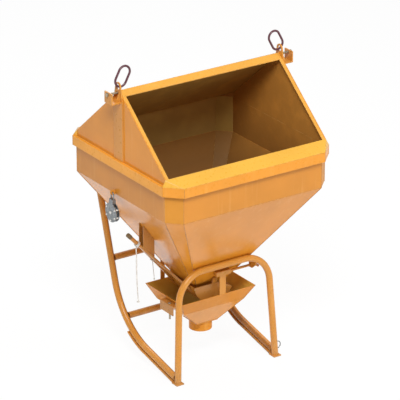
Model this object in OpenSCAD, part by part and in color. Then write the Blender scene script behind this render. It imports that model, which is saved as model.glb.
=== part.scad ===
// Crane-slung concrete bucket with a lever-worked sector gate. Millimetres, +Z up.
// The origin lies midway between the two lifting eyes. The pieces are drawn with the
// top of the rim at Z 0, and hang() lowers them under the eyes.

/* [Rim and walls] */
// Half width over the rim
rim_half_x = 608; // [560:1:660]
// Half depth over the rim
rim_half_y = 595; // [550:1:650]
// Height of the rim's skirt
rim_h = 62; // [40:1:90]
// Width of the rim's flat top
rim_w = 22; // [14:1:40]
// Corner cut of the rim
rim_cut = 95; // [60:1:140]
// Thickness of the body plates
plate_t = 6; // [4:0.5:10]
// Height of the upright walls
wall_h = 237; // [150:1:320]

/* [Hopper and outlet] */
// Depth of the tapered hopper
hopper_h = 678; // [560:1:800]
// Half width of the outlet
outlet_half_x = 120; // [100:1:150]
// Half depth of the outlet
outlet_half_y = 115; // [95:1:140]
// Corner cut of the outlet
outlet_cut = 14; // [8:1:30]
// Level thickness of the hopper plates
hopper_t = 7; // [5:0.5:12]
// Length of the straight neck under the hopper
neck_h = 45; // [30:1:60]

/* [Hood] */
// Height of the ridge above the rim
ridge_h = 450; // [350:1:550]
// Height of the mouth's sill above the rim
sill_h = 41; // [25:1:70]
// Distance from the sill forward to the rim's front edge
sill_in = 96; // [70:1:140]
// Distance from the roof's foot back to the rim's back edge
eave_in = 115; // [80:1:150]
// Distance from a gable out to the rim's side
gable_in = 22; // [14:1:40]
// Width of the folded edge beside the mouth
edge_w = 20; // [12:1:40]
// Width of the ridge's front fold
ridge_w = 45; // [25:1:70]

/* [Lifting lugs and links] */
// Height of the eyes above the ridge
eye_rise = 26; // [22:1:40]
// Radius of the eyes
eye_r = 18; // [14:1:24]
// Width of metal round the eyes
eye_land = 10; // [8:1:20]
// Thickness of the lug straps
lug_t = 8; // [6:1:12]
// Half width of the lug straps
lug_half = 48; // [36:1:70]
// Reach of the brackets out from the straps
bracket_reach = 69; // [55:1:90]
// Height of the brackets
bracket_h = 72; // [60:1:90]
// Half depth of the brackets
bracket_half = 40; // [30:1:46]
// Diameter of the bracket bolts
bolt_d = 16; // [10:1:20]
// Stock of the oval links
link_d = 14; // [10:1:18]
// Outer length of the oval links
link_l = 146; // [110:1:180]
// Outer width of the oval links
link_w = 92; // [70:1:120]
// Inward lean of the links as they stand
link_lean = 28; // [0:1:40]

/* [Stand] */
// Outer diameter of the stand's tubes
tube_d = 42; // [34:1:50]
// Wall of the stand's tubes
tube_wall = 4; // [2:0.5:6]
// Rise of the front hoop's top above the neck's mouth
hoop_rise = 220; // [160:1:280]
// Bend radius of the front hoop
hoop_bend = 186; // [130:1:240]
// Outward splay of the hoop's legs
hoop_splay = 3.1; // [0:0.1:6]
// Half distance between the feet
foot_half = 366; // [320:1:420]
// Distance of the feet forward of the centre
foot_y = 297; // [280:1:340]
// Level of the tubes' feet below the rim
foot_drop = 1432; // [1380:1:1500]
// Height of the foot pads
pad_h = 8; // [5:1:15]
// Rise of the rockers' lower run
rocker_rise = 12; // [8:0.5:16]
// Lean of the rockers' upper run
rocker_lean = 73.5; // [68:0.5:80]
// Drop of the rockers' top bends below the rim
rocker_bend_drop = 426.3; // [380:0.1:470]
// Bend radius of the rockers
rocker_bend = 480; // [400:1:560]
// Width of the flat soles
sole_w = 50; // [44:1:70]
// Thickness of the flat soles
sole_t = 8; // [5:1:14]

/* [Gate and lever] */
// Height of the gate's pivot above the neck's mouth
pivot_rise = 80; // [70:1:95]
// Radius of the gate's pivot pins
pivot_r = 10; // [8:1:12]
// Thickness of the gate's plates
gate_t = 5; // [4:0.5:8]
// Cover of the gate on the lever's side
gate_left_deg = 82; // [72:1:86]
// Cover of the gate on the far side
gate_right_deg = 60; // [56:1:62]
// Angle between the hopper's side and the lever
lever_open = 7.8; // [5:0.1:12]
// Length of the lever from its end to the gate
lever_l = 636; // [560:1:700]
// Thickness of the lever's arms
arm_t = 14; // [8:1:20]
// Width of the lever's arms
arm_w = 26; // [18:1:34]
// Half spread of the arms at the gate
arm_spread = 125; // [90:1:145]
// Radius of the lever's handle
handle_r = 12; // [9:1:15]

/* [Funnel and spout] */
// Half width of the funnel's rim
funnel_half_x = 276; // [240:1:300]
// Half depth of the funnel's rim
funnel_half_y = 204; // [190:1:220]
// Drop of the funnel's rim under the neck's mouth
funnel_gap = 8; // [4:1:20]
// Height of the funnel's steep skirt
skirt_h = 97; // [70:1:120]
// Inward draw of the skirt on each side
skirt_in = 52; // [30:1:70]
// Height of the funnel's flat cone
cone_h = 130; // [100:1:160]
// Level thickness of the funnel's plates
funnel_t = 5; // [3:0.5:8]
// Outer radius of the spout
spout_r = 73; // [60:1:90]
// Wall of the spout
spout_wall = 4; // [3:0.5:6]
// Length of the spout
spout_h = 60; // [40:1:100]
// Radius of the lock rod
rod_r = 8; // [6:0.5:10]
// Radius of the drop pin
pin_r = 6; // [4:0.5:8]

/* [Pulley] */
// Radius of the pulley's side plates
pulley_r = 62; // [50:1:75]
// Thickness of the pulley's side plates
pulley_t = 4; // [3:0.5:6]
// Width of the sheave
sheave_w = 16; // [12:1:20]
// Radius of the sheave
sheave_r = 42; // [34:1:44]
// Drop from the pulley's eye to its axle
pulley_drop = 130; // [115:1:160]

/* [Hidden] */
$fn = 48;
overrun = 1;
seat_gap = 0.3;
fit = 0.1;
// Weld seam between the straight and the bent runs of a tube
seam = 0.05;
paint = [0.88, 0.56, 0.22];
paint_dark = [0.62, 0.38, 0.13];
paint_top = [0.98, 0.74, 0.30];
steel = [0.58, 0.60, 0.62];
link_paint = [0.27, 0.17, 0.19];
white_cord = [0.92, 0.92, 0.90];
dark_grip = [0.22, 0.22, 0.21];

// Side numbers of an eight-sided ring, from the front round by the right
front_side = 0;
right_side = 2;
back_side = 4;
left_side = 6;
corner_sides = [1, 3, 5, 7];

eye_h = ridge_h + eye_rise;
wall_half_x = rim_half_x - rim_w;
wall_half_y = rim_half_y - rim_w;
corner_share = 2 - sqrt(2);
wall_cut = rim_cut - corner_share * rim_w;
hopper_bottom = wall_h + hopper_h;
neck_bottom = hopper_bottom + neck_h;
slope_x = (wall_half_x - outlet_half_x) / hopper_h;
slope_y = (wall_half_y - outlet_half_y) / hopper_h;

gable_half = rim_half_x - gable_in;
gable_inner = gable_half - plate_t;
sill_y = rim_half_y - sill_in;
eave_y = rim_half_y - eave_in;
mouth_deg = atan((ridge_h - sill_h) / sill_y);
roof_deg = atan((ridge_h - sill_h) / eave_y);

lug_face = gable_half + lug_t;
eye_x = gable_half + lug_t / 2;
bracket_drop = 96;
bracket_t = 8;
bolt_drop = 38;
bolt_head_r = 13;
bolt_head_h = 12;
gusset_t = 6;
gusset_gap = 17;
gusset_h = 68;
gusset_reach = 34;

tube_r = tube_d / 2;
hoop_drop = neck_bottom - hoop_rise;
hoop_y = wall_half_y - (hoop_drop - wall_h) * slope_y + (tube_r + seat_gap) / cos(atan(slope_y));
hoop_tilt = atan((foot_y - hoop_y) / (foot_drop - hoop_drop));
hoop_length = (foot_drop - hoop_drop) / cos(hoop_tilt);
hoop_bend_drop = hoop_bend * (1 - sin(hoop_splay));
hoop_top_half = foot_half - (hoop_length - hoop_bend_drop) * tan(hoop_splay) - hoop_bend * cos(hoop_splay);
rocker_start_rise = 19;
rocker_start_z = rocker_start_rise - foot_drop;
rocker_turn = rocker_lean - rocker_rise;
rocker_top_bend = 200;
rocker_wall_y = wall_half_y + tube_r + seat_gap;
bend_back = rocker_bend * (sin(rocker_lean) - sin(rocker_rise));
bend_up = rocker_bend * (cos(rocker_rise) - cos(rocker_lean));
top_bend_y = rocker_wall_y - rocker_top_bend * (1 - sin(rocker_lean));
// Lower run that brings the upper run to the wall at the top bends' level
rocker_run = (top_bend_y + foot_y - bend_back
    + (rocker_bend_drop + rocker_start_z + bend_up) / tan(rocker_lean))
    / (cos(rocker_rise) - sin(rocker_rise) / tan(rocker_lean));
bend_start_y = -foot_y + rocker_run * cos(rocker_rise);
bend_start_z = rocker_start_z + rocker_run * sin(rocker_rise);
bend_end_y = bend_start_y + bend_back;
bend_end_z = bend_start_z + bend_up;
rocker_rear_run = (top_bend_y - bend_end_y) / cos(rocker_lean);
top_bend_z = bend_end_z + rocker_rear_run * sin(rocker_lean);
rocker_top_z = top_bend_z + rocker_top_bend * cos(rocker_lean);
upper_bar_along = 143;
lower_bar_deg = 33;
pad_half_x = 27;
pad_half_y = 29;
sole_bite = 1;
sole_turn_share = 0.36;
leg_room = 2.5;
lash_r = 24;
lash_d = 6;
lash_rise = 58;

pivot_z = pivot_rise - neck_bottom;
boss_r = 18;
cheek_drop = 22;
cheek_gap = 1.5;
cheek_y = outlet_half_y + (hopper_bottom + pivot_z + boss_r) * slope_y + cheek_gap;
gate_gap = 3;
gate_in_r = norm([outlet_half_x, pivot_rise]) + gate_gap;
gate_out_r = gate_in_r + gate_t;
cap_r = 17;
cap_t = 6;
lever_slope = atan(1 / slope_x) - lever_open;
lever_dir = [cos(lever_slope), 0, -sin(lever_slope)];
lever_down = [-sin(lever_slope), 0, -cos(lever_slope)];
lever_bite = 10.4;
lever_end = [0, 0, pivot_z] + (gate_out_r - lever_bite) * lever_down - lever_l * lever_dir;
handle_l = 118;
grip_l = 30;
grip_wall = 2;
arm_root = 13;
arm_past = 4;
arm_l = lever_l + arm_past;
guide_t = 6;
guide_half = 20;
guide_lead = 50;
guide_top_drop = -lever_end[2] - guide_lead;
guide_w = 80;

funnel_y = -2;
funnel_drop = neck_bottom + funnel_gap;
skirt_half_x = funnel_half_x - skirt_in;
skirt_half_y = funnel_half_y - skirt_in;
skirt_bottom = funnel_drop + skirt_h;
cone_bottom = skirt_bottom + cone_h;
flange_land = 5;
flange_half = spout_r + flange_land;
flange_t = 6;
spout_top = cone_bottom + flange_t;
funnel_front = funnel_half_y - funnel_y;
funnel_back = funnel_half_y + funnel_y;
hanger_x = 30;
hanger_w = 45;
hanger_t = 8;
head_l = 108;
head_w = 28;
rod_handle_l = 36;
rod_y = -funnel_front + hanger_t / 2 + seat_gap;
// The hanger's head reaches up until it meets the hopper's front
head_back = -rod_y - head_w / 2 - seat_gap;
hanger_h = funnel_drop - head_w - wall_h - (wall_half_y - head_back) / slope_y;
rod_z = hanger_h + head_w / 2 - funnel_drop;
rod_bracket_out = 86;
rod_bracket_x = hoop_top_half + rod_bracket_out;
rod_bracket_t = 8;
rod_past = 34;
rod_start = hanger_x - head_l / 2;
rod_l = rod_bracket_x + rod_bracket_t + rod_past - rod_start;
rod_bracket_half = 16;
rear_hanger_x = 150;
rear_hanger_w = 30;
shelf_drop = 26;
shelf_t = 6;
shelf_reach = 40;
shelf_l = 143;
shelf_lip = 62;
shelf_front = -145;
pin_y = -90;
pin_l = 104;
pin_head_r = 10;
pin_head_h = 8;
// Room beside the pin's head as it is lifted past the funnel's rim
pin_room = 1.5;
pin_x = -funnel_half_x - pin_head_r - pin_room;

pulley_y = 55;
pulley_out = 20;
pulley_eye_drop = 225;
pulley_x = -wall_half_x - pulley_out;
pulley_z = -pulley_eye_drop - pulley_drop;
pulley_lug_t = 8;
pulley_lug_r = 15;
pulley_eye_r = 5;
bow_d = 8;
bow_r = 14;
bow_leg = 28;
neck_w = 38;
side_play = 0.5;
cheek_space = sheave_w / 2 + side_play;
axle_r = 9;
stud_r = 5;
stud_ring_r = 52;
stud_head_h = 5;
stud_count = 5;
groove_r = 5;

rope_r = 4;
thin_cord_r = 2.5;
tie_along = 102;
thin_tie_along = 304;
tie_turn_gap = 2;
// Route of the pull rope under its tie
rope_route = [[0, 0, 0], [2, 1, -60], [3, 2, -120], [3, 1, -190], [5, 0, -260], [9, 0, -325], [13, 0, -375]];
// Route of the thin cord under its tie
thin_route = [[0, 0, 0], [4, 0, -45], [9, 0, -90], [12, 0, -128]];
rope_sides = 8;
rope_steps = 3;

function ring(half_x, half_y, cut) = [
    [-half_x + cut, -half_y], [half_x - cut, -half_y],
    [half_x, -half_y + cut], [half_x, half_y - cut],
    [half_x - cut, half_y], [-half_x + cut, half_y],
    [-half_x, half_y - cut], [-half_x, -half_y + cut]];
function inner_ring(half_x, half_y, cut, by) =
    ring(half_x - by, half_y - by, cut - corner_share * by);
function box_ring(half_x, half_y, mid_y) = [
    [-half_x, mid_y - half_y], [half_x, mid_y - half_y],
    [half_x, mid_y + half_y], [-half_x, mid_y + half_y]];
function at_level(point, z) = [point[0], point[1], z];
function hopper_x(drop) = wall_half_x - (drop - wall_h) * slope_x;
function hopper_y(drop) = wall_half_y - (drop - wall_h) * slope_y;
function lever_point(along) = lever_end + along * lever_dir;
function eased(p0, p1, p2, p3, t) = 0.5 * (2 * p1 + (p2 - p0) * t
    + (2 * p0 - 5 * p1 + 4 * p2 - p3) * t * t + (3 * p1 - p0 - 3 * p2 + p3) * t * t * t);
function route_points(route, steps) = concat(
    [for (i = [0:len(route) - 2]) for (k = [0:steps - 1])
        eased(route[max(i - 1, 0)], route[i], route[i + 1], route[min(i + 2, len(route) - 1)], k / steps)],
    [route[len(route) - 1]]);

module hang() translate([0, 0, -eye_h]) children();

module both_sides() {
    children();
    mirror([1, 0, 0]) children();
}

module front_and_back() {
    children();
    mirror([0, 1, 0]) children();
}

// One straight side of an upright band between two rings
module band(outer, inner, side, height) {
    next = (side + 1) % len(outer);
    linear_extrude(height) polygon([outer[side], outer[next], inner[next], inner[side]]);
}

// One mitred flat plate of a tapered shell, outer rings first
module taper(low_out, low_in, low_z, top_out, top_in, top_z, side) {
    next = (side + 1) % len(low_out);
    polyhedron([
        at_level(low_out[side], low_z), at_level(low_out[next], low_z),
        at_level(low_in[next], low_z), at_level(low_in[side], low_z),
        at_level(top_out[side], top_z), at_level(top_out[next], top_z),
        at_level(top_in[next], top_z), at_level(top_in[side], top_z)],
        [[0, 1, 2, 3], [4, 5, 1, 0], [7, 6, 5, 4], [5, 6, 2, 1], [6, 7, 3, 2], [7, 4, 0, 3]]);
}

// A profile drawn in Y and Z, run along X from one place to another
module along_x(from_x, to_x) {
    translate([from_x, 0, 0]) rotate([90, 0, 90]) linear_extrude(to_x - from_x) children();
}

// A profile drawn in X and Z, run along Y from one place to another
module along_y(from_y, to_y) {
    translate([0, to_y, 0]) rotate([90, 0, 0]) linear_extrude(to_y - from_y) children();
}

module tube_section(radius, wall) {
    difference() {
        circle(radius);
        circle(radius - wall);
    }
}

module rope(route, radius) {
    points = route_points(route, rope_steps);
    rings = len(points);
    last = (rings - 1) * rope_sides;
    polyhedron(
        [for (p = points) for (k = [0:rope_sides - 1])
            p + radius * [cos(360 * k / rope_sides), sin(360 * k / rope_sides), 0]],
        concat(
            [[for (k = [rope_sides - 1:-1:0]) k]],
            [[for (k = [0:rope_sides - 1]) last + k]],
            [for (i = [0:rings - 2]) for (k = [0:rope_sides - 1])
                [i * rope_sides + k, i * rope_sides + (k + 1) % rope_sides,
                    (i + 1) * rope_sides + (k + 1) % rope_sides, (i + 1) * rope_sides + k]]));
}

// Rim: a folded flange with a skirt round the top of the walls
module rim_side(side) {
    outer = ring(rim_half_x, rim_half_y, rim_cut);
    translate([0, 0, -plate_t]) band(outer, ring(wall_half_x, wall_half_y, wall_cut), side, plate_t);
    translate([0, 0, -rim_h])
        band(outer, inner_ring(rim_half_x, rim_half_y, rim_cut, plate_t), side, rim_h - plate_t);
}

module wall_side(side) {
    translate([0, 0, -wall_h])
        band(ring(wall_half_x, wall_half_y, wall_cut),
            inner_ring(wall_half_x, wall_half_y, wall_cut, plate_t), side, wall_h);
}

module hopper_side(side) {
    taper(
        ring(outlet_half_x, outlet_half_y, outlet_cut),
        inner_ring(outlet_half_x, outlet_half_y, outlet_cut, hopper_t), -hopper_bottom,
        ring(wall_half_x, wall_half_y, wall_cut),
        inner_ring(wall_half_x, wall_half_y, wall_cut, hopper_t), -wall_h, side);
}

module rim_ends() color(paint_top) hang() for (side = [front_side, back_side]) rim_side(side);
module rim_sides() color(paint_top) hang() for (side = [left_side, right_side]) rim_side(side);
module rim_corners() color(paint_top) hang() for (side = corner_sides) rim_side(side);
module wall_front() color(paint) hang() wall_side(front_side);
module wall_back() color(paint) hang() wall_side(back_side);
module wall_left() color(paint) hang() wall_side(left_side);
module wall_right() color(paint) hang() wall_side(right_side);
module wall_corners() color(paint) hang() for (side = corner_sides) wall_side(side);
module hopper_front() color(paint) hang() hopper_side(front_side);
module hopper_back() color(paint) hang() hopper_side(back_side);
module hopper_left() color(paint) hang() hopper_side(left_side);
module hopper_right() color(paint) hang() hopper_side(right_side);
module hopper_corners() color(paint) hang() for (side = corner_sides) hopper_side(side);

module outlet_neck() color(paint_dark) hang() {
    translate([0, 0, -neck_bottom]) linear_extrude(neck_h) difference() {
        polygon(ring(outlet_half_x, outlet_half_y, outlet_cut));
        polygon(inner_ring(outlet_half_x, outlet_half_y, outlet_cut, plate_t));
    }
}

// Hood: two gables, the roof behind, the folds round the mouth and the sill ledge
module gable_profile() {
    polygon([[-sill_y, 0], [-sill_y, sill_h], [0, ridge_h], [eave_y, sill_h], [eave_y, 0]]);
}

module gables() color(paint) hang() both_sides() along_x(gable_inner, gable_half) gable_profile();

module roof_plate() color(paint) hang() {
    along_x(-gable_inner, gable_inner) polygon([
        [0, ridge_h], [0, ridge_h - plate_t / cos(roof_deg)],
        [eave_y, sill_h - plate_t / cos(roof_deg)], [eave_y, sill_h]]);
}

module ridge_fold() color(paint_top) hang() {
    fold_y = -ridge_w * cos(mouth_deg);
    fold_z = ridge_h - ridge_w * sin(mouth_deg);
    depth = plate_t / cos(mouth_deg);
    along_x(-gable_inner, gable_inner) polygon([
        [0, ridge_h], [fold_y, fold_z], [fold_y, fold_z - depth], [0, ridge_h - depth]]);
}

module mouth_folds() color(paint_top) hang() {
    fold_y = -ridge_w * cos(mouth_deg);
    fold_z = ridge_h - ridge_w * sin(mouth_deg);
    depth = plate_t / cos(mouth_deg);
    both_sides() along_x(gable_inner - edge_w, gable_inner) polygon([
        [fold_y, fold_z], [-sill_y, sill_h], [-sill_y, sill_h - depth], [fold_y, fold_z - depth]]);
}

// Sloping ledge from the hood's foot down to the rim, drawn at the front
module ledge(setback) {
    slope = atan(sill_h / setback);
    foot = rim_half_y - setback;
    front_half = rim_half_x - rim_cut;
    intersection() {
        along_x(-gable_half, gable_half) polygon([
            [-foot, sill_h], [-rim_half_y, 0], [-rim_half_y + plate_t / sin(slope), 0],
            [-foot, sill_h - plate_t / cos(slope)]]);
        linear_extrude(sill_h) polygon([
            [-front_half, -rim_half_y], [front_half, -rim_half_y],
            [gable_half, -foot], [-gable_half, -foot]]);
    }
}

// Wedges that close the ends of a ledge over the rim's cut corners
module ledge_ends(setback) {
    foot = rim_half_y - setback;
    both_sides() polyhedron([
        [rim_half_x - rim_cut, -rim_half_y, 0], [gable_half, -foot, 0],
        [rim_half_x, -rim_half_y + rim_cut, 0], [gable_half, -foot, sill_h]],
        [[0, 2, 1], [0, 3, 2], [1, 3, 0], [2, 3, 1]]);
}

module sill_ledge() color(paint_top) hang() ledge(sill_in);
module eave_ledge() color(paint_top) hang() mirror([0, 1, 0]) ledge(eave_in);
module ledge_corners() color(paint_top) hang() {
    ledge_ends(sill_in);
    mirror([0, 1, 0]) ledge_ends(eave_in);
}

// Lifting lugs: a strap with an eye, a bolted bracket outside it and its gussets
module lug_strap() {
    shoulder = eye_h - bracket_drop;
    eye_out_r = eye_r + eye_land;
    along_x(gable_half, lug_face) difference() {
        union() {
            polygon([[-lug_half, 0], [lug_half, 0], [lug_half, shoulder], [eye_out_r, eye_h],
                [-eye_out_r, eye_h], [-lug_half, shoulder]]);
            translate([0, eye_h]) circle(eye_out_r);
        }
        translate([0, eye_h]) circle(eye_r);
    }
}

module lugs() color(paint) hang() both_sides() lug_strap();

module lug_brackets() color(paint_top) hang() {
    low = eye_h - bracket_drop;
    far = lug_face + bracket_reach;
    both_sides() {
        difference() {
            along_y(-bracket_half, bracket_half) polygon([
                [lug_face, low], [far, low], [far, low + bracket_h], [far - bracket_t, low + bracket_h],
                [far - bracket_t, low + bracket_t], [lug_face, low + bracket_t]]);
            translate([far - bracket_t - overrun, 0, eye_h - bolt_drop]) rotate([0, 90, 0])
                cylinder(h = bracket_t + 2 * overrun, r = bolt_d / 2 + seat_gap);
        }
        front_and_back() along_y(gusset_gap, gusset_gap + gusset_t) polygon([
            [lug_face, low], [lug_face + gusset_reach, low], [lug_face, low + gusset_h]]);
    }
}

module lug_bolts() color(steel) hang() {
    far = lug_face + bracket_reach;
    both_sides() translate([lug_face, 0, eye_h - bolt_drop]) rotate([0, 90, 0]) {
        cylinder(h = bracket_reach, r = bolt_d / 2);
        translate([0, 0, far - lug_face]) cylinder(h = bolt_head_h, r = bolt_head_r, $fn = 6);
    }
}

// Oval link standing in its eye, lower bar through the eye's centre
module oval_link() {
    end_r = (link_w - link_d) / 2;
    straight = link_l - link_w;
    rotate([90, 0, 0]) translate([0, end_r, 0]) {
        rotate([0, 0, 180]) rotate_extrude(angle = 180) translate([end_r, 0]) circle(link_d / 2);
        translate([0, straight, 0]) rotate_extrude(angle = 180) translate([end_r, 0]) circle(link_d / 2);
        for (x = [-end_r, end_r]) translate([x, 0, 0]) rotate([-90, 0, 0])
            cylinder(h = straight, r = link_d / 2);
    }
}

module link_left() color(link_paint) hang()
    translate([-eye_x, 0, eye_h]) rotate([0, link_lean, 0]) oval_link();
module link_right() color(link_paint) hang()
    translate([eye_x, 0, eye_h]) rotate([0, -link_lean, 0]) oval_link();

// Frame of the front hoop, which leans forward to its feet
module on_hoop() translate([0, -hoop_y, -hoop_drop]) rotate([-hoop_tilt, 0, 0]) children();

// Stand: the front hoop and the two rockers behind it
module hoop() color(paint) hang() {
    leg = (hoop_length - hoop_bend_drop) / cos(hoop_splay) + tube_d;
    difference() {
        on_hoop() {
            along_x(-hoop_top_half + seam, hoop_top_half - seam) tube_section(tube_r, tube_wall);
            both_sides() {
                translate([hoop_top_half, 0, -hoop_bend]) rotate([90, 0, 0]) rotate([0, 0, hoop_splay])
                    rotate_extrude(angle = 90 - hoop_splay) translate([hoop_bend, 0])
                        tube_section(tube_r, tube_wall);
                translate([hoop_top_half + hoop_bend * cos(hoop_splay), 0, -hoop_bend_drop])
                    rotate([0, 180 - hoop_splay, 0]) translate([0, 0, seam]) linear_extrude(leg)
                        tube_section(tube_r, tube_wall);
            }
        }
        translate([-foot_half - tube_d, -foot_y - tube_d, -foot_drop - 2 * tube_d])
            cube([2 * (foot_half + tube_d), 2 * tube_d, 2 * tube_d]);
    }
}

// Centre of a rocker's big bend, and its straight runs as frames in Y and Z
module on_lower_run() translate([0, -foot_y, rocker_start_z]) rotate([rocker_rise, 0, 0]) children();
module on_big_bend() {
    centre_y = bend_start_y - rocker_bend * sin(rocker_rise);
    centre_z = bend_start_z + rocker_bend * cos(rocker_rise);
    translate([0, centre_y, centre_z]) rotate([90, 0, 90]) rotate([0, 0, rocker_rise - 90]) children();
}

module rocker_tube() {
    difference() {
        on_lower_run() rotate([-90, 0, 0]) linear_extrude(rocker_run - seam) tube_section(tube_r, tube_wall);
        translate([-tube_d, -foot_y - tube_d, -foot_drop - tube_d])
            cube([2 * tube_d, tube_d + tube_r + leg_room, 4 * tube_d]);
        on_lower_run() translate([-tube_d, 0, -tube_r + sole_bite - tube_d])
            cube([2 * tube_d, rocker_run + overrun, tube_d]);
    }
    on_big_bend() rotate_extrude(angle = rocker_turn) translate([rocker_bend, 0])
        tube_section(tube_r, tube_wall);
    translate([0, bend_end_y, bend_end_z]) rotate([rocker_lean - 90, 0, 0]) translate([0, 0, seam])
        linear_extrude(rocker_rear_run - 2 * seam) tube_section(tube_r, tube_wall);
    translate([0, rocker_wall_y - rocker_top_bend, rocker_top_z]) rotate([90, 0, 90])
        rotate([0, 0, rocker_lean - 90]) rotate_extrude(angle = 90 - rocker_lean)
            translate([rocker_top_bend, 0]) tube_section(tube_r, tube_wall);
    translate([0, rocker_wall_y, rocker_top_z + seam]) linear_extrude(-rim_h - rocker_top_z - seam)
        tube_section(tube_r, tube_wall);
}

module sole_solid(bend_gap) {
    half = sole_w / 2;
    inner = tube_r - sole_bite;
    on_lower_run() translate([-half, 0, -inner - sole_t]) cube([sole_w, rocker_run, sole_t]);
    on_big_bend() rotate_extrude(angle = rocker_turn * sole_turn_share)
        translate([rocker_bend + tube_r + bend_gap, -half]) square([sole_t, sole_w]);
}

module rockers() color(paint) hang() both_sides() translate([foot_half, 0, 0]) rocker_tube();

module rocker_soles() color(paint_dark) hang() both_sides() difference() {
    translate([foot_half, 0, 0]) sole_solid(seat_gap);
    translate([foot_half - tube_d, -foot_y - tube_d, -foot_drop - 2 * tube_d])
        cube([2 * tube_d, tube_d + pad_half_y, 4 * tube_d]);
}

module crossbar(y, z) {
    reach = foot_half - tube_r;
    difference() {
        translate([0, y, z]) along_x(-foot_half, foot_half) tube_section(tube_r, tube_wall);
        both_sides() translate([reach, y - tube_d, z - tube_d]) cube(2 * tube_d);
    }
}

module upper_crossbar() color(paint) hang() {
    crossbar(bend_end_y + upper_bar_along * cos(rocker_lean),
        bend_end_z + upper_bar_along * sin(rocker_lean));
}

module lower_crossbar() color(paint) hang() {
    turn = rocker_rise + lower_bar_deg;
    crossbar(bend_start_y + rocker_bend * (sin(turn) - sin(rocker_rise)),
        bend_start_z + rocker_bend * (cos(rocker_rise) - cos(turn)));
}

module foot_pads() color(paint_dark) hang() both_sides()
    translate([foot_half - pad_half_x, -foot_y - pad_half_y, -foot_drop - pad_h])
        cube([2 * pad_half_x, 2 * pad_half_y, pad_h]);

module lashing_eye() color(steel) hang() {
    leg_out = foot_half - lash_rise * tan(hoop_splay) + (tube_r + seat_gap) / cos(hoop_splay);
    leg_y = lash_rise * tan(hoop_tilt) - foot_y;
    translate([leg_out, leg_y, lash_rise - foot_drop]) rotate([0, -hoop_splay, 0]) rotate([90, 0, 0])
        rotate([0, 0, -90]) rotate_extrude(angle = 180) translate([lash_r, 0]) circle(lash_d / 2);
}

// Gate: a sector plate between two cheeks, on stub pins beside the neck
module sector_shape(radius, from_deg, to_deg) {
    far = 2 * radius;
    from_edge = far * [-sin(from_deg), -cos(from_deg)];
    to_edge = far * [sin(to_deg), -cos(to_deg)];
    intersection() {
        circle(radius);
        polygon([[0, 0], from_edge, [0, -far], to_edge]);
    }
}

module gate_plate() color(paint) hang() translate([0, 0, pivot_z]) along_y(-cheek_y, cheek_y) difference() {
    sector_shape(gate_out_r, gate_left_deg, gate_right_deg);
    circle(gate_in_r);
}

module gate_cheeks() color(paint) hang() front_and_back() translate([0, 0, pivot_z])
    along_y(cheek_y, cheek_y + gate_t) difference() {
        union() {
            intersection() {
                sector_shape(gate_out_r, gate_left_deg, gate_right_deg);
                translate([-gate_out_r, -gate_out_r - cheek_drop]) square([2 * gate_out_r, gate_out_r]);
            }
            translate([-boss_r, -cheek_drop - overrun]) square([2 * boss_r, cheek_drop + overrun]);
            circle(boss_r);
        }
        circle(pivot_r + fit);
    }

module gate_pins() color(steel) hang() front_and_back() {
    root = hopper_y(-pivot_z + pivot_r) - hopper_t;
    difference() {
        along_y(root, cheek_y + gate_t + cap_t) translate([0, pivot_z]) circle(pivot_r);
        hopper_cut();
    }
    cheek_out = cheek_y + gate_t;
    translate([0, 0, pivot_z]) along_y(cheek_out + seat_gap, cheek_out + cap_t)
        tube_section(cap_r, cap_r - pivot_r);
}

// Everything inside the back face of the hopper
module hopper_cut() {
    along_x(-outlet_half_x, outlet_half_x) polygon([
        [0, -wall_h], [wall_half_y, -wall_h], [outlet_half_y, -hopper_bottom], [0, -hopper_bottom]]);
}

// Frame of the lever: X runs down the lever from its end, Y is level
module on_lever() translate(lever_point(0)) rotate([0, lever_slope, 0]) children();

module arm_solid() {
    grow = (arm_spread - arm_root) / (arm_l - handle_l);
    far_y = arm_spread;
    inner_drop = arm_w * sqrt(1 + grow * grow);
    crotch = handle_l + (inner_drop - arm_root) / grow;
    difference() {
        on_lever() translate([0, 0, -arm_t / 2]) linear_extrude(arm_t) polygon([
            [handle_l, 0], [handle_l, arm_root], [arm_l, far_y], [arm_l, far_y - inner_drop], [crotch, 0]]);
        translate([0, 0, pivot_z]) along_y(-2 * arm_spread, 2 * arm_spread) circle(gate_out_r + seat_gap);
    }
}

module lever_arms() color(paint) hang() front_and_back() arm_solid();

module lever_handle() color(paint) hang() on_lever() translate([grip_l, 0, 0]) rotate([0, 90, 0])
    cylinder(h = handle_l - grip_l, r = handle_r);

module lever_grip() color(dark_grip) hang() on_lever() rotate([0, 90, 0])
    cylinder(h = grip_l, r = handle_r + grip_wall);

// Stop plates on the hopper that the closed lever comes up against
module lever_guide() color(paint) hang() {
    left = -hopper_x(guide_top_drop);
    right = left + guide_w;
    rise = (arm_t / 2 + seat_gap) / cos(lever_slope);
    left_low = lever_end[2] - (left - lever_end[0]) * tan(lever_slope) + rise;
    right_low = lever_end[2] - (right - lever_end[0]) * tan(lever_slope) + rise;
    right_top = -wall_h - (wall_half_x + right) / slope_x;
    front_and_back() along_y(guide_half, guide_half + guide_t) polygon([
        [left, -guide_top_drop], [right, right_top], [right, right_low], [left, left_low]]);
}

module rope_ties() color(white_cord) hang() on_lever() rotate([0, 90, 0]) {
    for (turn = [-1, 1]) translate([0, 0, tie_along + turn * (rope_r + tie_turn_gap / 2)]) rotate_extrude()
        translate([handle_r + rope_r + seat_gap, 0]) circle(rope_r);
}

module pull_rope() color(white_cord) hang() {
    turn = lever_point(tie_along + rope_r + tie_turn_gap / 2) + (handle_r + rope_r + seat_gap) * lever_down;
    translate(turn - [0, 0, rope_r + seat_gap]) rope(rope_route, rope_r);
}

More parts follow.
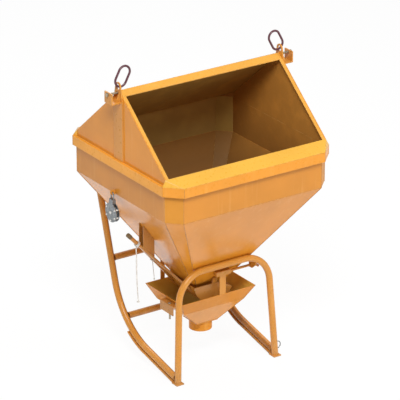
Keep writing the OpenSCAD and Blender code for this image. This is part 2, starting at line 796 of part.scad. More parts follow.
module thin_cord() color(white_cord) hang() {
    grow = (arm_spread - arm_root) / (arm_l - handle_l);
    side = arm_root + (thin_tie_along - handle_l) * grow - arm_w / 2;
    drop = arm_t / 2 / cos(lever_slope) + thin_cord_r * tan(lever_slope) + seat_gap;
    translate(lever_point(thin_tie_along) + [0, side, -drop]) rope(thin_route, thin_cord_r);
}

// Funnel under the gate: steep skirt, flat cone, flange and spout
module skirt_side(side) {
    taper(
        box_ring(skirt_half_x, skirt_half_y, funnel_y),
        box_ring(skirt_half_x - funnel_t, skirt_half_y - funnel_t, funnel_y), -skirt_bottom,
        box_ring(funnel_half_x, funnel_half_y, funnel_y),
        box_ring(funnel_half_x - funnel_t, funnel_half_y - funnel_t, funnel_y), -funnel_drop, side);
}

module cone_side(side) {
    taper(
        box_ring(flange_half, flange_half, funnel_y),
        box_ring(flange_half - funnel_t, flange_half - funnel_t, funnel_y), -cone_bottom,
        box_ring(skirt_half_x, skirt_half_y, funnel_y),
        box_ring(skirt_half_x - funnel_t, skirt_half_y - funnel_t, funnel_y), -skirt_bottom, side);
}

module skirt_long() color(paint) hang() for (side = [0, 2]) skirt_side(side);
module skirt_short() color(paint) hang() for (side = [1, 3]) skirt_side(side);
module cone_long() color(paint) hang() for (side = [0, 2]) cone_side(side);
module cone_short() color(paint) hang() for (side = [1, 3]) cone_side(side);

module spout_flange() color(paint_dark) hang() translate([0, funnel_y, -spout_top]) linear_extrude(flange_t)
    difference() {
        square(2 * flange_half, center = true);
        circle(spout_r - spout_wall);
    }

module spout() color(paint) hang() translate([0, funnel_y, -spout_top - spout_h]) linear_extrude(spout_h)
    tube_section(spout_r, spout_wall);

// Hangers that carry the funnel, with the lock rod at the front
module front_hanger() color(paint) hang() {
    translate([hanger_x - hanger_w / 2, rod_y - hanger_t / 2, -funnel_drop])
        cube([hanger_w, hanger_t, hanger_h]);
    difference() {
        translate([hanger_x - head_l / 2, rod_y - head_w / 2, hanger_h - funnel_drop])
            cube([head_l, head_w, head_w]);
        translate([hanger_x - head_l / 2 - overrun, 0, 0]) along_x(0, head_l + 2 * overrun)
            translate([rod_y, rod_z]) circle(rod_r + fit);
    }
}

module lock_rod() color(paint_top) hang() {
    along_x(rod_start, rod_start + rod_l) translate([rod_y, rod_z]) circle(rod_r);
    translate([rod_start + rod_l - rod_r, rod_y - rod_handle_l, rod_z]) rotate([-90, 0, 0])
        cylinder(h = rod_handle_l, r = rod_r);
}

module rod_bracket() color(paint) hang() {
    bend_x = rod_bracket_x + rod_bracket_t / 2 - hoop_top_half;
    bend_drop = hoop_bend - sqrt(hoop_bend * hoop_bend - bend_x * bend_x);
    top = -hoop_drop - bend_drop;
    front = rod_y - rod_bracket_half;
    back = rod_y + rod_bracket_half;
    low = rod_z - rod_bracket_half;
    difference() {
        along_x(rod_bracket_x, rod_bracket_x + rod_bracket_t) difference() {
            polygon([[-hoop_y, top], [-hoop_y, top - tube_d], [front, low], [back, low], [back, top]]);
            translate([rod_y, rod_z]) circle(rod_r + fit);
        }
        on_hoop() translate([hoop_top_half, 0, -hoop_bend]) rotate([90, 0, 0])
            rotate_extrude() translate([hoop_bend, 0]) circle(tube_r + seat_gap);
    }
}

module rear_hangers() color(paint) hang() {
    back = funnel_back;
    near = back - funnel_t;
    both_sides() along_x(rear_hanger_x - rear_hanger_w / 2, rear_hanger_x + rear_hanger_w / 2) polygon([
        [near, -funnel_drop], [back, -funnel_drop],
        [back, -wall_h - (wall_half_y - back) / slope_y], [near, -wall_h - (wall_half_y - near) / slope_y]]);
}

// Shelf on the funnel's left skirt with its drop pin
module pin_shelf() color(paint) hang() {
    draw = skirt_in / skirt_h;
    top_x = -funnel_half_x + shelf_drop * draw;
    low_x = top_x + shelf_t * draw;
    out_x = top_x - shelf_reach;
    top = -funnel_drop - shelf_drop;
    difference() {
        along_y(shelf_front, shelf_front + shelf_l) polygon([
            [top_x, top], [low_x, top - shelf_t], [out_x + shelf_t, top - shelf_t],
            [out_x + shelf_t, top - shelf_lip], [out_x, top - shelf_lip], [out_x, top]]);
        translate([pin_x, pin_y, top - shelf_t - overrun])
            cylinder(h = shelf_t + 2 * overrun, r = pin_r + fit);
    }
}

module drop_pin() color(steel) hang() translate([pin_x, pin_y, -funnel_drop - shelf_drop]) {
    translate([0, 0, -pin_l]) cylinder(h = pin_l, r = pin_r);
    cylinder(h = pin_head_h, r = pin_head_r);
}

// Snatch pulley that hangs from a lug on the left wall
module pulley_lug() color(paint) hang() difference() {
    along_y(pulley_y - pulley_lug_t / 2, pulley_y + pulley_lug_t / 2) union() {
        translate([pulley_x, -pulley_eye_drop]) circle(pulley_lug_r);
        translate([pulley_x, -pulley_eye_drop - pulley_lug_r]) square([pulley_out, 2 * pulley_lug_r]);
    }
    along_y(pulley_y - pulley_lug_t, pulley_y + pulley_lug_t)
        translate([pulley_x, -pulley_eye_drop]) circle(pulley_eye_r);
    translate([-wall_half_x, 0, 0]) mirror([0, 0, 1]) cube([wall_half_x, wall_half_y, hopper_bottom]);
}

module pulley_bow() color(steel) hang() translate([pulley_x, pulley_y, -pulley_eye_drop]) {
    translate([0, 0, -bow_r]) rotate([90, 0, 90]) rotate_extrude(angle = 180) translate([bow_r, 0])
        circle(bow_d / 2);
    for (y = [-bow_r, bow_r]) translate([0, y, -bow_r - bow_leg]) cylinder(h = bow_leg, r = bow_d / 2);
}

module pulley_frame() color(steel) hang() translate([pulley_x, pulley_y, 0]) {
    head_top = -pulley_eye_drop - bow_r - bow_leg;
    head_low = pulley_z + sheave_r + 2 * groove_r;
    for (x = [-cheek_space - pulley_t, cheek_space]) along_x(x, x + pulley_t) difference() {
        union() {
            translate([0, pulley_z]) circle(pulley_r);
            translate([-neck_w / 2, pulley_z]) square([neck_w, head_top - pulley_z]);
        }
        translate([0, pulley_z]) circle(axle_r);
    }
    translate([-cheek_space, -neck_w / 2, head_low]) cube([2 * cheek_space, neck_w, head_top - head_low]);
}

module pulley_bolts() color(steel) hang() translate([pulley_x, pulley_y, pulley_z]) {
    reach = cheek_space + pulley_t + stud_head_h;
    along_x(-reach, reach) circle(axle_r - fit);
    for (k = [0:stud_count - 1]) rotate([90 + 360 * (k + 1) / (stud_count + 1), 0, 0]) {
        along_x(-cheek_space, cheek_space) translate([stud_ring_r, 0]) circle(stud_r);
        for (x = [-cheek_space - pulley_t - stud_head_h, cheek_space + pulley_t])
            along_x(x, x + stud_head_h) translate([stud_ring_r, 0]) circle(stud_r);
    }
}

module sheave() color(steel) hang() translate([pulley_x, pulley_y, pulley_z]) rotate([0, 90, 0])
    translate([0, 0, -sheave_w / 2]) rotate_extrude() difference() {
        translate([axle_r, 0]) square([sheave_r - axle_r, sheave_w]);
        translate([sheave_r, sheave_w / 2]) circle(groove_r);
    }

rim_ends();
rim_sides();
rim_corners();
wall_front();
wall_back();
wall_left();
wall_right();
wall_corners();
hopper_front();
hopper_back();
hopper_left();
hopper_right();
hopper_corners();
outlet_neck();
gables();
roof_plate();
ridge_fold();
mouth_folds();
sill_ledge();
eave_ledge();
ledge_corners();
lugs();
lug_brackets();
lug_bolts();
link_left();
link_right();
hoop();
rockers();
rocker_soles();
upper_crossbar();
lower_crossbar();
foot_pads();
lashing_eye();
gate_plate();
gate_cheeks();
gate_pins();
lever_arms();
lever_handle();
lever_grip();
lever_guide();
rope_ties();
pull_rope();
thin_cord();
skirt_long();
skirt_short();
cone_long();
cone_short();
spout_flange();
spout();
front_hanger();
lock_rod();
rod_bracket();
rear_hangers();
pin_shelf();
drop_pin();
pulley_lug();
pulley_bow();
pulley_frame();
pulley_bolts();
sheave();
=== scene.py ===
"""Looks of a crane-slung concrete bucket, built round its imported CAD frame. Metres, +Z up."""
import math

import bpy
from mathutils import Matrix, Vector, noise


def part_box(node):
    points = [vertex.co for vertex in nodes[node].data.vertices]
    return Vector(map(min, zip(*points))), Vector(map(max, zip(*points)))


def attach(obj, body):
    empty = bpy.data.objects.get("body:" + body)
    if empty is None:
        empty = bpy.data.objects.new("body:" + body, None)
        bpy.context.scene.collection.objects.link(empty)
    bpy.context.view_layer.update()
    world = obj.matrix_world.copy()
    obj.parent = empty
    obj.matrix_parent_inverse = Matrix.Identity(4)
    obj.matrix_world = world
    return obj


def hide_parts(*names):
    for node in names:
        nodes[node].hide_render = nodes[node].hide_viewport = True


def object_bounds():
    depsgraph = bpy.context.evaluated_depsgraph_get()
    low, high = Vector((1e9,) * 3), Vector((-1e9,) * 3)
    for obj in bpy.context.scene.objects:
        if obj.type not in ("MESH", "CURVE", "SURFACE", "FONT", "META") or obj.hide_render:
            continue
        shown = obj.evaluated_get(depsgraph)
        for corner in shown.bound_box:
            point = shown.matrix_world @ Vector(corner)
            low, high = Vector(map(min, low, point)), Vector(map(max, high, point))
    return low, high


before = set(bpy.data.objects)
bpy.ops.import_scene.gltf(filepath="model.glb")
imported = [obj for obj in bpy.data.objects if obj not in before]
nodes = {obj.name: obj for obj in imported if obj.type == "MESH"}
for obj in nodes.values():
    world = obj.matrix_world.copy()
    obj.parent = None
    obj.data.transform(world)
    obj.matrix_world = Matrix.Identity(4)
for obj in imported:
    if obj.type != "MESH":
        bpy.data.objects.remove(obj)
cad_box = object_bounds()

# Places that repeat the named values of the part's source, in metres
EYE_HEIGHT = 0.476
RIM_HALF = (0.608, 0.595)
RIM_CUT = 0.095
RIM_HEIGHT = 0.062
WALL_HALF = (0.586, 0.573)
WALL_CUT = 0.0821
WALL_HEIGHT = 0.237
OUTLET_HALF = (0.120, 0.115)
OUTLET_CUT = 0.014
HOPPER_DROP = 0.915
GABLE_HALF = 0.586
GABLE_INNER = 0.580
SILL_Y = 0.499
EAVE_Y = 0.480
SILL_HEIGHT = 0.041
RIDGE_HEIGHT = 0.450
LUG_FACE = 0.594
LUG_HALF = 0.048
BRACKET_LOW = 0.380
BRACKET_HALF = 0.040
GUSSET_SIDES = (0.017, 0.023)
GUSSET_HEIGHT = 0.068
TUBE_RADIUS = 0.021
FOOT_HALF = 0.366
FUNNEL_Y = -0.002
FUNNEL_HALF = (0.276, 0.204)
FUNNEL_DROP = 0.968
SKIRT_HALF = (0.224, 0.152)
SKIRT_DROP = 1.065
FLANGE_HALF = 0.078
CONE_DROP = 1.195
SPOUT_TOP = 1.201
SPOUT_RADIUS = 0.073
LEVER_END = Vector((-0.53294, 0.0, -0.50506))
LEVER_SLOPE = math.radians(47.7)
HANDLE_RADIUS = 0.012
ARM_THICK = 0.014
ARM_WIDTH = 0.026
ROPE_RADIUS = 0.004
THIN_RADIUS = 0.0025
SEAT_GAP = 0.0003
TIE_ALONG = 0.102
TIE_TURN_GAP = 0.002
THIN_TIE_ALONG = 0.304
THIN_TIE_SIDE = 0.0399
PULL_START = Vector((-0.47298, 0.0, -1.07546))
THIN_START = Vector((-0.32834, 0.03991, -1.21935))
PULL_ROUTE = [(0, 0, 0), (0.002, 0.001, -0.060), (0.003, 0.002, -0.120), (0.003, 0.001, -0.190),
              (0.005, 0, -0.260), (0.009, 0, -0.325), (0.013, 0, -0.375)]
THIN_ROUTE = [(0, 0, 0), (0.004, 0, -0.045), (0.009, 0, -0.090), (0.012, 0, -0.128)]
ROUTE_STEPS = 3

# Camera at the photograph's angle
CAMERA_PLACE = (-10.0443, -14.8884, 6.7531)
CAMERA_TILT = 23.0148
CAMERA_TURN = -34.0
CAMERA_LENS = 284.84
CAMERA_SENSOR = 36.0


def place_camera():
    data = bpy.data.cameras.new("camera")
    data.sensor_fit = "HORIZONTAL"
    data.sensor_width = CAMERA_SENSOR
    data.lens = CAMERA_LENS
    camera = bpy.data.objects.new("camera", data)
    camera.location = CAMERA_PLACE
    camera.rotation_euler = (math.radians(90 - CAMERA_TILT), 0, math.radians(CAMERA_TURN))
    bpy.context.scene.collection.objects.link(camera)
    bpy.context.scene.camera = camera


def add(tree, kind, settings=None, sockets=None):
    """A shader node with its settings, and its inputs set to values or linked to outputs."""
    node = tree.nodes.new(kind)
    for name, value in (settings or {}).items():
        setattr(node, name, value)
    for name, value in (sockets or {}).items():
        if isinstance(value, bpy.types.NodeSocket):
            tree.links.new(value, node.inputs[name])
        else:
            node.inputs[name].default_value = value
    return node


def colour(red, green, blue):
    """A linear colour from 0 to 255 display values."""
    def linear(value):
        share = value / 255
        if share <= 0.04045:
            return share / 12.92
        return ((share + 0.055) / 1.055) ** 2.4
    return (linear(red), linear(green), linear(blue), 1.0)


def scaled(base, share):
    """A colour made darker or paler by a share."""
    return tuple(min(1.0, share * part) for part in base[:3]) + (1.0,)


def mixed(tree, first, second, factor):
    """A blend of two colours, by the places of the mix node's colour sockets."""
    node = tree.nodes.new("ShaderNodeMix")
    node.data_type = "RGBA"
    for place, value in ((0, factor), (6, first), (7, second)):
        socket = node.inputs[place]
        if isinstance(value, bpy.types.NodeSocket):
            tree.links.new(value, socket)
        else:
            socket.default_value = value
    return node.outputs[2]


def math_node(tree, operation, first, second):
    """A sum or product, held between zero and one."""
    node = tree.nodes.new("ShaderNodeMath")
    node.operation = operation
    node.use_clamp = True
    for socket, value in ((node.inputs[0], first), (node.inputs[1], second)):
        if isinstance(value, bpy.types.NodeSocket):
            tree.links.new(value, socket)
        else:
            socket.default_value = value
    return node.outputs[0]


def ranged(tree, value, low, high, out_low=0.0, out_high=1.0):
    """A value's share of the way from low to high, held to the range it gives out."""
    node = add(tree, "ShaderNodeMapRange", {"clamp": True}, {"Value": value})
    node.inputs["From Min"].default_value = low
    node.inputs["From Max"].default_value = high
    node.inputs["To Min"].default_value = out_low
    node.inputs["To Max"].default_value = out_high
    return node.outputs["Result"]


def start_material(name):
    material = bpy.data.materials.new(name)
    material.use_nodes = True
    tree = material.node_tree
    tree.nodes.clear()
    output = tree.nodes.new("ShaderNodeOutputMaterial")
    shader = tree.nodes.new("ShaderNodeBsdfPrincipled")
    tree.links.new(shader.outputs["BSDF"], output.inputs["Surface"])
    return material, tree, shader


def edge_mask(tree, radius):
    """One along the sharp edges and zero on the flats, with the edges' rounded normal."""
    bevel = add(tree, "ShaderNodeBevel", {"samples": 4}, {"Radius": radius})
    surface = tree.nodes.new("ShaderNodeNewGeometry")
    turn = add(tree, "ShaderNodeVectorMath", {"operation": "DOT_PRODUCT"})
    tree.links.new(bevel.outputs["Normal"], turn.inputs[0])
    tree.links.new(surface.outputs["Normal"], turn.inputs[1])
    return ranged(tree, turn.outputs["Value"], 0.985, 0.80), bevel.outputs["Normal"]


def noise_at(tree, place, scale, detail):
    """A noise texture's value at a place."""
    texture = add(tree, "ShaderNodeTexNoise", None, {"Vector": place, "Scale": scale, "Detail": detail})
    return texture.outputs["Fac"]


def bumped(tree, height, normal, strength, distance):
    """A normal bent by a height."""
    bump = add(tree, "ShaderNodeBump", None,
               {"Height": height, "Normal": normal, "Strength": strength, "Distance": distance})
    return bump.outputs["Normal"]


# How finely the paint varies, how the painted shade inside darkens with depth, and how it gathers dust
BROAD_SCALE = 3.2
FINE_SCALE = 46.0
PEEL_SCALE = 420.0
FILM_SCALE = 9.0
STREAK_SCALES = (34.0, 34.0, 2.2)
PEEL_HEIGHT = 0.0008
DENT_HEIGHT = 0.006
PAINT_BUMP = 0.10
MOTTLE_SHARE = 0.88
FILM_SHARE = 1.7
DEPTH_SHADE_SHARE = 0.42
INSIDE_ROUGHNESS = 0.5
DUST = colour(172, 150, 120)
DUST_REACH = 0.16
DUST_ROUGHNESS = 0.4
MIDDLE_HALF = 0.05


def inside_shaded(tree, place, paint, rough, inside, shade_depths):
    """Paint and roughness with painted light and shade on the inward faces, darker towards the bottom."""
    surface = tree.nodes.new("ShaderNodeNewGeometry")
    outward = add(tree, "ShaderNodeVectorMath", {"operation": "MULTIPLY"},
                  {0: place, 1: (1.0, 1.0, 0.0)})
    facing = add(tree, "ShaderNodeVectorMath", {"operation": "DOT_PRODUCT"},
                 {0: outward.outputs["Vector"], 1: surface.outputs["True Normal"]})
    within = ranged(tree, facing.outputs["Value"], 0.0, -0.02)
    film = noise_at(tree, place, FILM_SCALE, 8.0)
    inner_shading = mixed(tree, inside, scaled(inside, FILM_SHARE), ranged(tree, film, 0.46, 0.86, 0.0, 0.5))
    # painted shade, darker towards the bottom of the bucket
    depth = add(tree, "ShaderNodeSeparateXYZ", None, {"Vector": place}).outputs["Z"]
    inner_shading = mixed(tree, inner_shading, scaled(inside, DEPTH_SHADE_SHARE), ranged(tree, depth, *shade_depths))
    rougher = math_node(tree, "MULTIPLY", within, INSIDE_ROUGHNESS)
    return mixed(tree, paint, inner_shading, within), math_node(tree, "ADD", rough, rougher)


def dusted(tree, place, fine, paint, rough, top):
    """Paint and roughness with dust that gathers below a height."""
    height = add(tree, "ShaderNodeSeparateXYZ", None, {"Vector": place}).outputs["Z"]
    low = ranged(tree, height, top, top - DUST_REACH)
    dust = math_node(tree, "MULTIPLY", low, ranged(tree, fine, 0.35, 0.65, 0.05, 0.40))
    rougher = math_node(tree, "MULTIPLY", dust, DUST_ROUGHNESS)
    return mixed(tree, paint, DUST, dust), math_node(tree, "ADD", rough, rougher)


def side_shaded(tree, place, fine, paint, side_shade_colour):
    """Paint with patches of painted shade on the sides that face the bucket's middle."""
    side = add(tree, "ShaderNodeSeparateXYZ", None, {"Vector": place}).outputs["X"]
    inward = ranged(tree, side, -MIDDLE_HALF, MIDDLE_HALF, 1.0, -1.0)
    surface = tree.nodes.new("ShaderNodeNewGeometry")
    normal = add(tree, "ShaderNodeSeparateXYZ", None, {"Vector": surface.outputs["Normal"]})
    turned = ranged(tree, math_node(tree, "MULTIPLY", inward, normal.outputs["X"]), 0.02, 0.50)
    shade_patches = ranged(tree, fine, 0.30, 0.62, 0.55, 0.85)
    return mixed(tree, paint, side_shade_colour, math_node(tree, "MULTIPLY", turned, shade_patches))


def paint_material(name, base, worn_and_highlight, inside=None, dusty_below=None, inner_side_shade=None, gloss=0.5,
                   edge_radius=0.004, edge_amount=0.75, rough_range=(0.24, 0.38),
                   shade_depths=(-0.45, -0.85)):
    """Machine paint: mottled colour, orange peel, drip streaks, and worn edges with painted highlight."""
    material, tree, shader = start_material(name)
    shader.inputs["Specular IOR Level"].default_value = gloss
    place = tree.nodes.new("ShaderNodeTexCoord").outputs["Object"]
    broad = noise_at(tree, place, BROAD_SCALE, 5.0)
    fine = noise_at(tree, place, FINE_SCALE, 6.0)
    peel = noise_at(tree, place, PEEL_SCALE, 2.0)
    drawn = add(tree, "ShaderNodeMapping", None, {"Vector": place, "Scale": STREAK_SCALES})
    streaks = noise_at(tree, drawn.outputs["Vector"], 1.0, 4.0)
    paint = mixed(tree, scaled(base, MOTTLE_SHARE), base, ranged(tree, broad, 0.30, 0.62))
    paint = mixed(tree, paint, worn_and_highlight, ranged(tree, streaks, 0.56, 0.80, 0.0, 0.18))
    edge, rounded = edge_mask(tree, edge_radius)
    rough = ranged(tree, fine, 0.30, 0.70, *rough_range)
    # inward faces: painted light and shade, darker towards the bottom
    if inside is not None:
        paint, rough = inside_shaded(tree, place, paint, rough, inside, shade_depths)
    # edges made paler: partly wear, partly painted highlight
    chips_and_highlight = math_node(tree, "MULTIPLY", ranged(tree, fine, 0.42, 0.60), edge_amount)
    paint = mixed(tree, paint, worn_and_highlight, math_node(tree, "MULTIPLY", edge, chips_and_highlight))
    if dusty_below is not None:
        paint, rough = dusted(tree, place, fine, paint, rough, dusty_below)
    # painted shade on the sides that face the bucket's middle
    if inner_side_shade is not None:
        paint = side_shaded(tree, place, fine, paint, inner_side_shade)
    tree.links.new(paint, shader.inputs["Base Color"])
    tree.links.new(rough, shader.inputs["Roughness"])
    skin = bumped(tree, peel, rounded, PAINT_BUMP, PEEL_HEIGHT)
    tree.links.new(bumped(tree, broad, skin, PAINT_BUMP, DENT_HEIGHT), shader.inputs["Normal"])
    return material


DULL_PATCH_SCALE = 60.0
DULL_PATCH_SHARE = 0.62
METAL_EDGE_RADIUS = 0.0015
METAL_BUMP = 0.12
METAL_BUMP_HEIGHT = 0.0006
RUBBED = colour(225, 225, 222)
RUBBED_AMOUNT = 0.7


def metal_material(name, base, flake, metallic, rough_range, flake_scale):
    """Plated steel or moulded rubber: spangles, dull patches and paler rubbed edges."""
    material, tree, shader = start_material(name)
    shader.inputs["Metallic"].default_value = metallic
    place = tree.nodes.new("ShaderNodeTexCoord").outputs["Object"]
    spangle = add(tree, "ShaderNodeTexVoronoi", None, {"Vector": place, "Scale": flake_scale})
    fine = noise_at(tree, place, DULL_PATCH_SCALE, 6.0)
    shade = add(tree, "ShaderNodeSeparateColor", None, {"Color": spangle.outputs["Color"]})
    metal = mixed(tree, base, flake, ranged(tree, shade.outputs["Red"], 0.15, 0.95))
    metal = mixed(tree, metal, scaled(base, DULL_PATCH_SHARE), ranged(tree, fine, 0.55, 0.78, 0.0, 0.6))
    edge, rounded = edge_mask(tree, METAL_EDGE_RADIUS)
    metal = mixed(tree, metal, RUBBED, math_node(tree, "MULTIPLY", edge, RUBBED_AMOUNT))
    rough = ranged(tree, fine, 0.3, 0.7, *rough_range)
    tree.links.new(metal, shader.inputs["Base Color"])
    tree.links.new(rough, shader.inputs["Roughness"])
    skin = bumped(tree, fine, rounded, METAL_BUMP, METAL_BUMP_HEIGHT)
    tree.links.new(skin, shader.inputs["Normal"])
    return material


SOIL_SCALE = 38.0
YARN_SCALE = 480.0
YARN_BUMP = 0.5
YARN_HEIGHT = 0.0005


def fibre_material(name, base, shade):
    """Laid rope fibre: fine yarns along each strand with grey handling marks."""
    material, tree, shader = start_material(name)
    place = tree.nodes.new("ShaderNodeTexCoord").outputs["Object"]
    soil = noise_at(tree, place, SOIL_SCALE, 4.0)
    yarn = add(tree, "ShaderNodeTexWave", {"bands_direction": "DIAGONAL"},
               {"Vector": place, "Scale": YARN_SCALE, "Distortion": 1.5, "Detail": 2.0}).outputs["Fac"]
    fibre = mixed(tree, base, shade, ranged(tree, soil, 0.45, 0.75, 0.0, 0.7))
    fibre = mixed(tree, fibre, shade, ranged(tree, yarn, 0.55, 0.0, 0.0, 0.45))
    rough = ranged(tree, soil, 0.3, 0.7, 0.72, 0.92)
    tree.links.new(fibre, shader.inputs["Base Color"])
    tree.links.new(rough, shader.inputs["Roughness"])
    bump = add(tree, "ShaderNodeBump", None,
               {"Height": yarn, "Strength": YARN_BUMP, "Distance": YARN_HEIGHT})
    tree.links.new(bump.outputs["Normal"], shader.inputs["Normal"])
    return material


place_camera()

# Colours of the paint, its lit and shaded copies, and the painted shade inside and on the rockers
PAINT = colour(223, 144, 42)
# painted shade: the walls under the rim are darker than the shell
PAINT_WALL_SHADED = colour(209, 136, 46)
PAINT_FRAME = colour(211, 142, 54)
# painted light: the cone paler than the skirt above it, as if lit from below
PAINT_CONE_LIT = colour(228, 156, 70)
# darker paint: painted shade on the lever, gate cheeks, pin shelf and crossbars, and the welds' dark seams
PAINT_DULL_AND_SHADED = colour(194, 132, 58)
# painted light: the ledges' and folds' upward faces lighter and yellower
PAINT_TOP_LIT = colour(230, 173, 62)
PAINT_FOLD_LIT = colour(227, 163, 66)
# painted light: the rim brighter than the shell, its side runs brighter still
PAINT_RIM_LIT = colour(230, 151, 50)
PAINT_RIM_SIDE_LIT = colour(240, 164, 58)
# paler paint for drip streaks and worn edges; along the edges it is also a painted highlight
PAINT_WORN_AND_HIGHLIGHT = colour(248, 200, 116)
# painted light and shade of the inner faces, one tone for each region
INSIDE_SHADING = colour(188, 127, 50)
CORNER_INSIDE_SHADING = colour(176, 120, 44)
ROOF_INSIDE_SHADING = colour(176, 132, 60)
BACK_INSIDE_SHADING = colour(206, 162, 82)
FUNNEL_INSIDE_SHADING = colour(222, 172, 72)
# painted shade on the rockers' inner sides
SIDE_SHADE = colour(132, 82, 34)

# Gloss, wear and painted inside shade that several paints share
SHELL_STYLE = {"rough_range": (0.14, 0.25), "gloss": 0.42}
RIM_STYLE = {"edge_radius": 0.0025, "edge_amount": 0.5}
TOP_STYLE = {"inside": INSIDE_SHADING, "edge_amount": 0.9}
FRAME_STYLE = {"dusty_below": -1.75, "edge_radius": 0.0025, "edge_amount": 0.5}
FUNNEL_STYLE = {"inside": FUNNEL_INSIDE_SHADING, "edge_radius": 0.003, "shade_depths": (-1.42, -1.68)}

# paints given inside carry painted light and shade on their inward faces
shell_paint = paint_material("shell_paint", PAINT, PAINT_WORN_AND_HIGHLIGHT, inside=INSIDE_SHADING, **SHELL_STYLE)
# the walls' outer faces carry the painted shade of the rim's overhang
shaded_wall_paint = paint_material("shaded_wall_paint", PAINT_WALL_SHADED, PAINT_WORN_AND_HIGHLIGHT, inside=INSIDE_SHADING, **SHELL_STYLE)
wall_corner_paint = paint_material("wall_corner_paint", PAINT_FRAME, PAINT_WORN_AND_HIGHLIGHT, inside=BACK_INSIDE_SHADING,
                                   rough_range=(0.40, 0.52), gloss=0.18)
hopper_corner_paint = paint_material("hopper_corner_paint", PAINT, PAINT_WORN_AND_HIGHLIGHT, inside=CORNER_INSIDE_SHADING,
                                     **SHELL_STYLE)
roof_paint = paint_material("roof_paint", PAINT, PAINT_WORN_AND_HIGHLIGHT, inside=ROOF_INSIDE_SHADING, **SHELL_STYLE)
# the back wall shares the walls' painted shade outside
back_paint = paint_material("back_paint", PAINT_WALL_SHADED, PAINT_WORN_AND_HIGHLIGHT, inside=BACK_INSIDE_SHADING, **SHELL_STYLE)
# painted light on the rim's ends, corners and side runs
lit_rim_paint = paint_material("lit_rim_paint", PAINT_RIM_LIT, PAINT_WORN_AND_HIGHLIGHT, gloss=0.28, **RIM_STYLE)
lit_rim_side_paint = paint_material("lit_rim_side_paint", PAINT_RIM_SIDE_LIT, PAINT_WORN_AND_HIGHLIGHT, gloss=0.30, **RIM_STYLE)
# painted light on the ledges and the folds
lit_top_paint = paint_material("lit_top_paint", PAINT_TOP_LIT, PAINT_WORN_AND_HIGHLIGHT, **TOP_STYLE)
lit_fold_paint = paint_material("lit_fold_paint", PAINT_FOLD_LIT, PAINT_WORN_AND_HIGHLIGHT, **TOP_STYLE)
frame_paint = paint_material("frame_paint", PAINT_FRAME, PAINT_WORN_AND_HIGHLIGHT, **FRAME_STYLE)
# the rockers carry painted shade on their inner sides
rocker_paint = paint_material("rocker_paint", PAINT_FRAME, PAINT_WORN_AND_HIGHLIGHT, inner_side_shade=SIDE_SHADE, **FRAME_STYLE)
# painted shade: the lever, its guide, the gate cheeks, pin shelf and crossbars in a darker copy of the
# paint
shaded_lever_paint = paint_material("shaded_lever_paint", PAINT_DULL_AND_SHADED, PAINT_WORN_AND_HIGHLIGHT, edge_amount=0.5)
funnel_paint = paint_material("funnel_paint", PAINT, PAINT_WORN_AND_HIGHLIGHT, rough_range=(0.30, 0.44), gloss=0.26,
                              **FUNNEL_STYLE)
# painted light: the cone's paler copy of the paint
lit_cone_paint = paint_material("lit_cone_paint", PAINT_CONE_LIT, PAINT_WORN_AND_HIGHLIGHT, rough_range=(0.12, 0.24), **FUNNEL_STYLE)
weld_paint = paint_material("weld_paint", PAINT_DULL_AND_SHADED, PAINT_WORN_AND_HIGHLIGHT, edge_radius=0.001)
link_paint = paint_material("link_paint", colour(94, 54, 63), colour(150, 110, 114), edge_radius=0.002)
galvanised = metal_material("galvanised", colour(128, 132, 134), colour(160, 164, 166),
                            metallic=0.85, rough_range=(0.30, 0.48), flake_scale=140.0)
# near-white bolt heads: their plating and a painted glint
bright_steel_and_glint = metal_material("bright_steel_and_glint", colour(232, 228, 220), colour(244, 240, 234),
                              metallic=0.2, rough_range=(0.34, 0.50), flake_scale=260.0)
plated_steel = metal_material("plated_steel", colour(168, 150, 122), colour(190, 178, 156),
                              metallic=0.8, rough_range=(0.28, 0.46), flake_scale=260.0)
grip_rubber = metal_material("grip_rubber", colour(108, 88, 58), colour(122, 102, 72),
                             metallic=0.0, rough_range=(0.60, 0.80), flake_scale=320.0)
rope_fibre = fibre_material("rope_fibre", colour(238, 236, 230), colour(188, 184, 174))

# The nodes of each finish; all others have the stand's paint
FINISHED_NODES = [
    (shell_paint, ["hopper_front", "hopper_back", "hopper_left", "hopper_right", "outlet_neck", "gables"]),
    (shaded_wall_paint, ["wall_front", "wall_left", "wall_right"]),
    (wall_corner_paint, ["wall_corners"]),
    (hopper_corner_paint, ["hopper_corners"]),
    (roof_paint, ["roof_plate"]),
    (back_paint, ["wall_back"]),
    (lit_rim_paint, ["rim_ends", "rim_corners"]),
    (lit_rim_side_paint, ["rim_sides"]),
    (lit_top_paint, ["sill_ledge", "eave_ledge", "ledge_corners"]),
    (lit_fold_paint, ["ridge_fold", "mouth_folds"]),
    (funnel_paint, ["skirt_long", "skirt_short", "spout_flange", "spout"]),
    (lit_cone_paint, ["cone_long", "cone_short"]),
    (shaded_lever_paint, ["lever_arms", "lever_handle", "lever_guide", "gate_cheeks", "pin_shelf",
                   "upper_crossbar", "lower_crossbar"]),
    (rocker_paint, ["rockers", "rocker_soles"]),
    (link_paint, ["link_left", "link_right"]),
    (galvanised, ["pulley_bow", "pulley_frame", "sheave", "lashing_eye"]),
    (bright_steel_and_glint, ["pulley_bolts"]),
    (plated_steel, ["lug_bolts", "drop_pin"]),
    (grip_rubber, ["lever_grip"]),
    (rope_fibre, ["rope_ties", "pull_rope", "thin_cord"]),
]

finishes = {name: frame_paint for name in nodes}
for finish, names in FINISHED_NODES:
    for name in names:
        finishes[name] = finish
for name, node in nodes.items():
    node.data.materials.clear()
    node.data.materials.append(finishes[name])


def shown(name, points, faces, finish, body):
    """A new piece of the bucket, riding on a body."""
    mesh = bpy.data.meshes.new(name)
    mesh.from_pydata(points, [], faces)
    mesh.update()
    for face in mesh.polygons:
        face.use_smooth = True
    mesh.materials.append(finish)
    piece = bpy.data.objects.new(name, mesh)
    bpy.context.scene.collection.objects.link(piece)
    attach(piece, body)
    return piece


